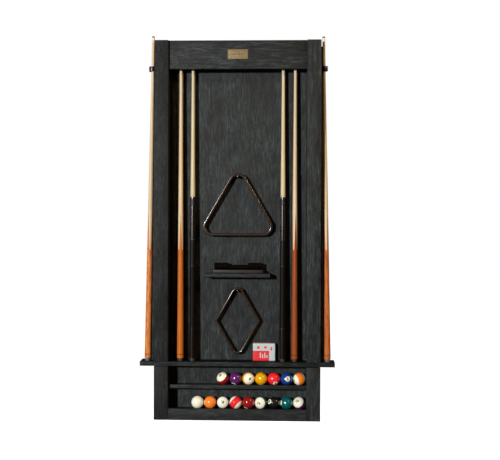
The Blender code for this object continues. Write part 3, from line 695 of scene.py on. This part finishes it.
def build_nameplate():
    """A brass plate with a raised border and rows of plain pips, pinned at its corners."""
    low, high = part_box("nameplate")
    half_x = (high.x - low.x) / 2
    half_z = (high.z - low.z) / 2
    face = (high.y - low.y) * 0.8
    proud = (high.y - low.y) * 0.16
    upright = Matrix.Translation(((low.x + high.x) / 2, high.y, (low.z + high.z) / 2)) @ FACE_ROOM

    def plate_outline(inset, corner):
        return rectangle((inset - half_x, half_x - inset), (inset - half_z, half_z - inset), corner)

    add_piece("nameplate_sheet", prism(plate_outline(0, PLATE_CORNER), 0, face, 0.0003), [BRASS],
              "case", ["nameplate"], upright)
    border = hoop(plate_outline(BORDER_INSET, BORDER_CORNER),
                  plate_outline(BORDER_INSET + BORDER_WIDTH, BORDER_CORNER - BORDER_WIDTH),
                  BORDER_WIDTH, 2 * proud, 0.0001)
    marks = [moved(border, (0, 0, face))]
    for height, count, half_length, half_height in PIP_ROWS:
        for i in range(count):
            x = (i / (count - 1) - 0.5) * PIP_ROW_LENGTH
            pip = [(x - half_length, height), (x, height - half_height), (x + half_length, height),
                   (x, height + half_height)]
            marks.append(prism(pip, face - proud, face + proud * 0.6))
    add_piece("nameplate_ornament", joined(*marks), [DARK_BRASS], "case", (), upright)
    pins = []
    for x in (PIN_INSET - half_x, half_x - PIN_INSET):
        for z in (PIN_INSET - half_z, half_z - PIN_INSET):
            pin = turned([(0, face - proud), (0.0013, face - proud), (0.0012, face + proud * 0.5),
                          (0.0007, face + proud), (0, face + proud * 1.1)], 20)
            pins.append(moved(pin, (x, z, 0)))
    add_piece("nameplate_pins", joined(*pins), [BRASS], "case", (), upright)


# Cues ------------------------------

# Each cue's butt, and how far it is turned on its axis in degrees
CUES = {
    "outer_left_cue": ("spliced", 33),
    "inner_left_orange_cue": ("spliced", 6),
    "inner_left_black_cue": ("black", 0),
    "inner_right_black_cue": ("black", 20),
    "inner_right_orange_cue": ("spliced", 16),
    "outer_right_cue": ("spliced", 66),
}
BUMPER_RADIUS = 0.0122
BUTT_RADIUS = 0.015
JOINT_RADIUS = 0.011
# Distances below the cue's top, and the shaft's radius there
SHAFT_BELOW_TIP = ((0.520, 0.0092), (0.200, 0.0068), (0.0, 0.0063))
FERRULE_LENGTH = 0.013
TIP_LENGTH = 0.0078
TIP_DOME = 0.0035
CAP_LENGTH, BUTT_RING_LENGTH = 0.0165, 0.0022
# A black cue's heights above the bottom of its butt, and the lengths of its fittings
SLEEVE_END, WRAP_END, FOREARM_END = 0.135, 0.414, 0.532
TRIM_LENGTH, BAND_LENGTH = 0.003, 0.010
COLLAR_LENGTH, DARK_COLLAR_LENGTH = 0.020, 0.026
# A spliced butt's light and dark wood
SPLICED_BUTTS = {
    "outer_left_cue": ((0.66, 0.245, 0.060), (0.36, 0.066, 0.010)),
    "inner_left_orange_cue": ((0.47, 0.135, 0.014), (0.39, 0.098, 0.010)),
    "inner_right_orange_cue": ((0.255, 0.056, 0.007), (0.21, 0.041, 0.006)),
    "outer_right_cue": ((0.47, 0.142, 0.030), (0.24, 0.044, 0.008)),
}


def cue_radius(height, bottom, joint, top):
    """The cue's radius at a height along its axis."""
    stops = [(bottom, BUTT_RADIUS), (joint, JOINT_RADIUS)]
    stops += [(top - below, radius) for below, radius in SHAFT_BELOW_TIP]
    for (start, first), (end, last) in zip(stops, stops[1:]):
        if height <= end:
            return first + (last - first) * (height - start) / (end - start)
    return stops[-1][1]


def tapered(start, end, cue, proud=0.0, ease=0.0004):
    """A length of the cue as a solid with eased rims; cue holds its bottom, joint and top."""
    count = max(2, round((end - start) / 0.04))
    heights = [start + ease + (end - start - 2 * ease) * i / count for i in range(count + 1)]
    middle = [(cue_radius(height, *cue) + proud, height) for height in heights]
    first = (middle[0][0] - ease, start)
    last = (middle[-1][0] - ease, end)
    return turned([(0, start), first] + middle + [last, (0, end)])


def rubber_foot(height):
    """A bumper with an eased lower rim and a shallow groove."""
    radius = BUMPER_RADIUS
    return turned([
        (0, 0), (radius - 0.0028, 0), (radius - 0.0010, 0.0008), (radius, 0.0026),
        (radius, 0.0058), (radius - 0.0006, 0.0064), (radius - 0.0006, 0.0070),
        (radius, 0.0076), (radius, height), (0, height),
    ])


def build_cue(name, butt_kind, turn, number):
    """One cue from bumper to tip; every piece shares the cue's axis as its own Z."""
    low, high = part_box(f"{name}_bumper")
    direction = LIFT_AXIS[name]
    bumper_height = high.z - low.z
    foot = (low + high) / 2 - direction * (bumper_height / 2)

    def along(node, end):
        return (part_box(f"{name}_{node}")[end].z - foot.z) / direction.z

    bottom, joint, top = along("butt", 0), along("butt", 1), along("shaft", 1)
    cue = (bottom, joint, top)
    turn_about = Quaternion((0, 0, 1), math.radians(turn))
    matrix = (Matrix.Translation(foot)
              @ (direction.to_track_quat("Z", "Y") @ turn_about).to_matrix().to_4x4())

    def piece(part, bm, material, replaces=()):
        add_piece(f"{name}_{part}", bm, [material], name, replaces, matrix,
                  variation=1.7 * number)

    def band(part, start, length, material=SMOKED_STEEL, slot="zinc_steel", ease=0.0002):
        piece(part, tapered(start, start + length, cue, 0.0001, ease), material)

    rubber = RUBBER if name.startswith("outer") else DARK_RUBBER
    piece("rubber_foot", rubber_foot(bumper_height), rubber, [f"{name}_bumper"])
    if butt_kind == "spliced":
        cap = bottom + CAP_LENGTH
        wood = spliced_wood(f"{name}_wood", *SPLICED_BUTTS[name])
        piece("butt_cap", tapered(bottom, cap, cue), wood)
        band("butt_ring", cap, BUTT_RING_LENGTH, BROWN_GLOSS, "black_lacquer")
        piece("spliced_butt", tapered(cap + BUTT_RING_LENGTH, joint, cue, ease=0.0), wood,
              [f"{name}_butt"])
        shaft_start, shaft_material = joint, MAPLE
    else:
        sleeve, wrap, forearm = bottom + SLEEVE_END, bottom + WRAP_END, bottom + FOREARM_END
        collar, ivory = joint - DARK_COLLAR_LENGTH, joint + COLLAR_LENGTH / 2
        piece("butt_sleeve", tapered(bottom, sleeve, cue), BROWN_GLOSS,
              [f"{name}_butt"])
        piece("grip_wrap", tapered(sleeve + TRIM_LENGTH, wrap, cue, 0.0001), LINEN)
        piece("forearm", tapered(wrap + TRIM_LENGTH, forearm, cue), SATIN_BLACK)
        piece("upper_forearm", tapered(forearm + BAND_LENGTH, collar, cue), BLACK_GLOSS)
        band("dark_collar", collar, DARK_COLLAR_LENGTH, ease=0.0004)
        band("sleeve_ring", sleeve, TRIM_LENGTH)
        band("wrap_ring", wrap, TRIM_LENGTH)
        band("forearm_band", forearm, BAND_LENGTH)
        band("joint_collar", joint, COLLAR_LENGTH / 2, STEEL, ease=0.0004)
        band("shaft_collar", ivory, COLLAR_LENGTH / 2, COLLAR_IVORY, "maple", 0.0004)
        shaft_start, shaft_material = joint + COLLAR_LENGTH, PALE_MAPLE
    tip_start = top - TIP_LENGTH
    ferrule_start = tip_start - FERRULE_LENGTH
    piece("turned_shaft", tapered(shaft_start, ferrule_start, cue, ease=0.0), shaft_material,
          [f"{name}_shaft"])
    piece("ferrule", tapered(ferrule_start, tip_start, cue, 0.00005), IVORY)
    tip_radius = SHAFT_BELOW_TIP[-1][1]
    dome = [(tip_radius * math.cos(a), top - TIP_DOME + TIP_DOME * math.sin(a))
            for a in (math.radians(10 * i) for i in range(9))]
    piece("leather_tip", turned([(0, tip_start), (tip_radius, tip_start)] + dome + [(0, top)]),
          LEATHER)


def build_cues():
    """All six cues, left to right."""
    for number, (name, (butt_kind, turn)) in enumerate(CUES.items()):
        build_cue(name, butt_kind, turn, number)


# Balls ------------------------------

CREAM = (0.90, 0.90, 0.73)
BALL_COLOURS = {
    1: ("yellow", (0.78, 0.38, 0.0)),
    2: ("blue", (0.006, 0.045, 0.26)),
    3: ("red", (0.85, 0.020, 0.028)),
    4: ("purple", (0.10, 0.015, 0.12)),
    5: ("orange", (0.98, 0.24, 0.024)),
    6: ("green", (0.0, 0.095, 0.098)),
    7: ("maroon", (0.26, 0.008, 0.010)),
    8: ("black", (0.006, 0.006, 0.007)),
}
SPOT_HEIGHT = math.cos(math.radians(22))
STRIPE_HEIGHT = math.sin(math.radians(30))
LOOKING_DOWN = math.radians(10.6)
# Each ball's numbered pole as someone sees it who looks down at the rack a little: how far it
# stands right of and above the ball's centre, as shares of the radius, and its roll in degrees
BALL_POSES = {
    0: (0, 1, 0),
    1: (0.0, -1.0, 0),
    2: (0.15, -0.03, 10),
    3: (0.23, -0.76, 0),
    4: (-0.33, -0.90, 0),
    5: (-0.97, -0.03, 0),
    6: (-0.94, 0.04, 0),
    7: (-0.38, -0.90, 0),
    8: (-0.72, 0.22, -20),
    9: (0.25, -0.10, -35),
    10: (-0.06, 0.05, -8),
    11: (0.73, -0.66, 0),
    12: (-0.38, 0.33, -30),
    13: (-0.90, -0.30, 0),
    14: (-0.38, -0.03, -12),
    15: (-0.46, 0.51, -35),
}
NUMERAL_SIZE = 0.0165
NUMERAL_BOLDNESS = 0.0010
NUMERAL_CELL = 0.0015
INK_HALF_DEPTH = 0.00008


def ball_shape(radius, divisions=16):
    """A sphere swelled from a cube, so that its quads stay even."""
    bm = bmesh.new()
    bmesh.ops.create_cube(bm, size=2.0)
    bmesh.ops.subdivide_edges(bm, edges=bm.edges[:], cuts=divisions - 1, use_grid_fill=True)
    for vert in bm.verts:
        vert.co = Vector([math.tan(c * math.pi / 4) for c in vert.co]).normalized() * radius
    return bm


def numeral(text, radius):
    """A number inlaid at the ball's local +Z pole and again at its -Z pole."""
    curve = bpy.data.curves.new("numeral", "FONT")
    curve.body = text
    curve.size = NUMERAL_SIZE
    curve.align_x = curve.align_y = "CENTER"
    curve.extrude = INK_HALF_DEPTH
    curve.offset = NUMERAL_BOLDNESS
    letters = add_object("numeral", curve)
    bpy.context.view_layer.update()
    flat = bmesh.new()
    evaluated = letters.evaluated_get(bpy.context.evaluated_depsgraph_get())
    mesh = bpy.data.meshes.new_from_object(evaluated)
    flat.from_mesh(mesh)
    bpy.data.objects.remove(letters)
    bpy.data.meshes.remove(mesh)
    bmesh.ops.remove_doubles(flat, verts=flat.verts, dist=MERGE)
    reach = int(NUMERAL_SIZE / NUMERAL_CELL)
    for i in range(-reach, reach + 1):
        for normal in ((1, 0, 0), (0, 1, 0)):
            slit(flat, Vector(normal) * (i * NUMERAL_CELL), normal)
    for vert in flat.verts:
        outward = Vector((vert.co.x, vert.co.y, radius)).normalized()
        vert.co = outward * (radius + vert.co.z)
    bmesh.ops.triangulate(flat, faces=flat.faces[:])
    return joined(flat, placed(flat.copy(), Matrix.Rotation(math.pi, 4, "X")))


def build_balls():
    """Cue ball and numbered balls, each turned to the pose it rests in."""
    white = resin("cream_resin", CREAM, CREAM, 1.0)
    tilt = Quaternion((1, 0, 0), -LOOKING_DOWN)
    for number, (right, above, roll) in BALL_POSES.items():
        name = f"ball_{number:02d}" if number else "cue_ball"
        low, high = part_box(name)
        radius = (high.z - low.z) / 2
        nearer = math.sqrt(max(0.0, 1 - right * right - above * above))
        pole = tilt @ Vector((right, -nearer, above))
        turn = pole.to_track_quat("Z", "Y") @ Quaternion((0, 0, 1), math.radians(roll))
        matrix = Matrix.Translation((low + high) / 2) @ turn.to_matrix().to_4x4()
        if number == 0:
            add_piece("cue_ball_resin", ball_shape(radius), [white], name, [name],
                      matrix)
            continue
        colour_name, colour = BALL_COLOURS[number if number <= 8 else number - 8]
        kind, pole_height = ("solid", SPOT_HEIGHT) if number <= 8 else ("stripe", STRIPE_HEIGHT)
        material = resin(f"{colour_name}_{kind}_resin", colour, CREAM, pole_height)
        add_piece(f"{name}_resin", ball_shape(radius), [material], name, [name],
                  matrix, variation=0.37 * number)
        add_piece(f"{name}_numeral", numeral(str(number), radius), [INK], name, (),
                  matrix)


# Ball racks ------------------------------

RACK_EDGE = 0.0042
TRIANGLE_WALL, TRIANGLE_CORNER = 0.013, 0.0425
DIAMOND_WALL, DIAMOND_CORNER = 0.010, 0.028


def build_rack(node, body, loop, wall):
    """A hoop-like ball rack, drawn in a plane that faces the room."""
    low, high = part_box(node)
    depth = high.y - low.y
    outer, inner = loop(low, high, 0.0), loop(low, high, wall)
    mid_depth = Matrix.Translation((0, (low.y + high.y) / 2, 0))
    rack = placed(hoop(outer, inner, wall, depth, RACK_EDGE), mid_depth @ FACE_ROOM)
    add_piece(f"{node}_frame", rack, [rack_wood(f"{node}_wood", low.y)], body, [node],
              variation=2.3)


def triangle_loop(low, high, inset):
    """Equilateral, point up, with the same corner centres at every inset."""
    radius = TRIANGLE_CORNER - inset
    spacing = high.x - low.x - 2 * TRIANGLE_CORNER
    centre_low = low.z + TRIANGLE_CORNER
    side = spacing + 2 * radius * math.sqrt(3)
    base = centre_low - radius
    corners = ((-side / 2, base), (side / 2, base), (0, base + side * math.sqrt(3) / 2))
    return rounded_outline(corners, (radius,) * 3, 16)


def diamond_loop(low, high, inset):
    """A rhombus of two equilateral halves, rounded at its top and bottom."""
    half_width = (high.x - low.x) / 2 - inset * 2 / math.sqrt(3)
    half_height = half_width * math.sqrt(3)
    middle = (low.z + high.z) / 2
    radius = DIAMOND_CORNER - inset
    corners = ((0, middle - half_height), (half_width, middle),
               (0, middle + half_height), (-half_width, middle))
    return rounded_outline(corners, (radius, 0.0, radius, 0.0), 16)


# Brush ------------------------------

BRISTLE_END = 0.031
BRISTLE_MIDDLE = 0.0215
BRISTLE_END_LENGTH = 0.061
HAIRS_PER_TUFT = 10
TUFT_ROWS = 6
TUFT_COLUMNS = 42
TUFT_MARGIN = 0.003
HAIR_RADIUS = 0.00055
HAIR_TIP_SHARE = 0.55
BAND_BOTTOM, BAND_TOP, BAND_PROUD = 0.0048, 0.0062, 0.0004


def build_brush():
    """A bench-made table brush: a shaped back with tufts drawn into it, longest at both ends."""
    low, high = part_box("brush_block")
    outline = rectangle((low.x, high.x), (low.y, high.y), 0.009, 8)
    back = prism(outline, low.z, high.z, 0.0028, 4)
    add_piece("brush_back", back, [BRUSH_WOOD], "brush", ["brush_block"])
    trim = rectangle((low.x - BAND_PROUD, high.x + BAND_PROUD),
                     (low.y - BAND_PROUD, high.y + BAND_PROUD), 0.009 + BAND_PROUD, 8)
    band = prism(trim, low.z + BAND_BOTTOM, low.z + BAND_TOP, BAND_PROUD, 2)
    add_piece("brush_band", band, [DARK_BRASS], "brush", ())

    low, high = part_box("brush_bristles")
    rng = random.Random(7)
    width, depth, tall = high - low
    short = tall * BRISTLE_MIDDLE / BRISTLE_END
    end_share = BRISTLE_END_LENGTH / width
    bm = bmesh.new()
    for row in range(TUFT_ROWS):
        for column in range(TUFT_COLUMNS):
            share = (column + 0.5) / TUFT_COLUMNS
            x = low.x + TUFT_MARGIN + (width - 2 * TUFT_MARGIN) * share
            y = low.y + TUFT_MARGIN + (depth - 2 * TUFT_MARGIN) * (row + 0.5) / TUFT_ROWS
            length = tall if min(share, 1 - share) < end_share else short
            add_tuft(bm, rng, Vector((x, y, low.z)), length)
    add_piece("brush_tufts", bm, [HAIR], "brush", ["brush_bristles"], smooth=math.pi)


def on_circle(angle):
    """A horizontal unit vector."""
    return Vector((math.cos(angle), math.sin(angle), 0))


def add_tuft(bm, rng, root, length):
    """A bundle of tapered three-sided hairs that spread towards their tips."""
    for _ in range(HAIRS_PER_TUFT):
        angle = rng.uniform(0, math.tau)
        reach = rng.uniform(0.0002, 0.0019)
        start = root + on_circle(angle) * reach
        lean = on_circle(angle) * rng.uniform(0, 0.0016)
        lean += Vector((rng.uniform(-0.0008, 0.0008), rng.uniform(-0.0008, 0.0008), 0))
        tip = start + lean + Vector((0, 0, length * rng.uniform(0.93, 0.995)))
        base_ring, tip_ring = [], []
        for side in range(3):
            offset = on_circle(angle + side * math.tau / 3) * HAIR_RADIUS
            base_ring.append(bm.verts.new(start + offset))
            tip_ring.append(bm.verts.new(tip + offset * HAIR_TIP_SHARE))
        bm.faces.new(base_ring[::-1])
        bm.faces.new(tip_ring)
        for side in range(3):
            bm.faces.new((base_ring[side - 1], base_ring[side], tip_ring[side], tip_ring[side - 1]))


# Chalk box ------------------------------

# Printed panels on the front of the box, as shares of its width and height
RED_PANELS = (
    (0.0, 0.0, 0.73, 0.57),
    (0.19, 0.69, 0.30, 0.83),
    (0.51, 0.71, 0.62, 0.83),
    (0.80, 0.60, 0.87, 0.79),
)
WHITE_BAR_TOPS = (0.46, 0.38, 0.46, 0.32)
WHITE_PANELS = tuple((0.31 + 0.10 * i, 0.16, 0.36 + 0.10 * i, top)
                     for i, top in enumerate(WHITE_BAR_TOPS))
CARTON_EDGE = 0.0007
LID_THICKNESS, LID_INSET = 0.0014, 0.0006


def build_chalk_box():
    """A printed tuck-top carton; the print is cut into the front face, so it stays sharp."""
    low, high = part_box("chalk_box")
    size = high - low
    carton = block(low, Vector((high.x, high.y, high.z - LID_THICKNESS)), CARTON_EDGE)
    for axis in (0, 2):
        normal = Vector((axis == 0, 0, axis == 2))
        shares = {panel[end] for panel in RED_PANELS + WHITE_PANELS
                  for end in (axis // 2, axis // 2 + 2)}
        for share in sorted(shares - {0.0}):
            slit(carton, normal * (low[axis] + size[axis] * share), normal)

    def inside(panels, centre):
        u = (centre.x - low.x) / size.x
        v = (centre.z - low.z) / size.z
        return any(x0 <= u <= x1 and z0 <= v <= z1 for x0, z0, x1, z1 in panels)

    for face in carton.faces:
        centre = face.calc_center_median()
        if centre.y < low.y + CARTON_EDGE + 0.0001 and inside(RED_PANELS, centre):
            face.material_index = 0 if inside(WHITE_PANELS, centre) else 1
    add_piece("chalk_box_carton", carton, [CARD_WHITE, CARD_RED], "chalk_box", ["chalk_box"])
    lid_low = Vector((low.x + LID_INSET, low.y + LID_INSET, high.z - LID_THICKNESS + 0.0001))
    lid_high = Vector((high.x - LID_INSET, high.y, high.z))
    add_piece("chalk_box_lid", block(lid_low, lid_high, 0.0004), [CARD_KRAFT], "chalk_box", ())


# Studio ------------------------------

CAMERA_PLACE = (0.185, -3.892, 0.0286)
CAMERA_TURN = (math.pi / 2 - 0.00689, -0.00314, 0.03369)
CAMERA_LENS = 61.43
FLOOR_DROP = 1.15
FLOOR_RADIUS = 30.0


def add_floor():
    """A pale floor at the height that a wall-hung rack has below it; its own lamp lights only it."""
    bm = bmesh.new()
    bmesh.ops.create_circle(bm, cap_ends=True, segments=96, radius=FLOOR_RADIUS)
    mesh = finished_mesh("floor", bm)
    finish = Finish("floor_paint", specular=0.0)
    centred = finish.add("VectorMath", {0: finish.place()}, operation="LENGTH")
    distance = centred.outputs["Value"]
    cloud = finish.noise(3, 3)
    paint = finish.ramp(cloud, (0.3, (0.79, 0.79, 0.78)), (0.7, (0.83, 0.83, 0.82)))
    pale = finish.mix(finish.step(distance, 1.2, 2.8), paint, (1.0, 1.0, 1.0))
    mesh.materials.append(finish.shade(pale, 0.8))
    floor = bpy.data.objects.new("floor", mesh)
    only_floor = bpy.data.collections.new("floor_only")
    bpy.context.scene.collection.children.link(only_floor)
    only_floor.objects.link(floor)
    floor.location = (0, 0, CAD_LOW.z - FLOOR_DROP)
    floor.visible_diffuse = False
    floor.visible_glossy = False
    lamp = bpy.data.lights.new("floor_wash", "SUN")
    lamp.energy = math.pi
    wash = add_object("floor_wash", lamp)
    wash.light_linking.receiver_collection = only_floor


def add_softbox(name, place, target, size, power, colour=(1, 1, 1)):
    """A rectangular lamp aimed at a target, itself out of the camera's sight."""
    light = bpy.data.lights.new(name, "AREA")
    light.shape = "RECTANGLE"
    light.size, light.size_y = size
    light.energy = power
    light.color = colour
    obj = add_object(name, light)
    obj.visible_camera = False
    obj.location = place
    obj.rotation_euler = (Vector(target) - Vector(place)).to_track_quat("-Z", "Y").to_euler()


def add_studio():
    """A soft key from the left, small fills, and a white surround that only the camera sees."""
    add_softbox("key", (-4.0, -8.0, 1.5), (0, 0, 0), (0.6, 0.6), 950, (1, 0.985, 0.96))
    add_softbox("upper_right", (2.5, -1.65, 1.9), (0, 0, -0.5), (0.25, 0.25), 40, (1, 0.72, 0.42))
    add_softbox("far_left", (-3.9, -1.25, 0.4), (0, 0, -0.1), (0.10, 0.10), 4.5, (0.80, 0.94, 1))
    for side in (-1, 1):
        add_softbox(f"behind_{side + 1}", (side * 3.2, 3.0, 1.2), (0, 0, 0), (1.6, 1.6), 30)
    world = bpy.data.worlds.new("surround")
    bpy.context.scene.world = world
    world.use_nodes = True
    nodes, links = world.node_tree.nodes, world.node_tree.links
    dim = nodes["Background"]
    dim.inputs["Color"].default_value = (1.0, 0.52, 0.27, 1)
    dim.inputs["Strength"].default_value = 0.11
    white = nodes.new("ShaderNodeBackground")
    white.inputs["Color"].default_value = (1, 1, 1, 1)
    seen = nodes.new("ShaderNodeLightPath")
    choose = nodes.new("ShaderNodeMixShader")
    links.new(seen.outputs["Is Camera Ray"], choose.inputs[0])
    links.new(dim.outputs[0], choose.inputs[1])
    links.new(white.outputs[0], choose.inputs[2])
    links.new(choose.outputs[0], nodes["World Output"].inputs["Surface"])
    bpy.context.scene.view_settings.view_transform = "Standard"


def add_camera():
    """The photo's viewpoint: a little right of the rack's middle, at its half height."""
    camera = bpy.data.cameras.new("camera")
    camera.lens = CAMERA_LENS
    obj = add_object("camera", camera)
    obj.location = CAMERA_PLACE
    obj.rotation_euler = CAMERA_TURN
    bpy.context.scene.camera = obj


build_boards()
build_side_battens()
build_cue_shelf()
build_ball_shelf()
dress_kept_nodes()
build_rings()
build_pegs()
build_nameplate()
build_cues()
build_balls()
build_rack("triangle_rack", "triangle", triangle_loop, TRIANGLE_WALL)
build_rack("diamond_rack", "diamond", diamond_loop, DIAMOND_WALL)
build_brush()
build_chalk_box()
add_floor()
add_studio()
add_camera()
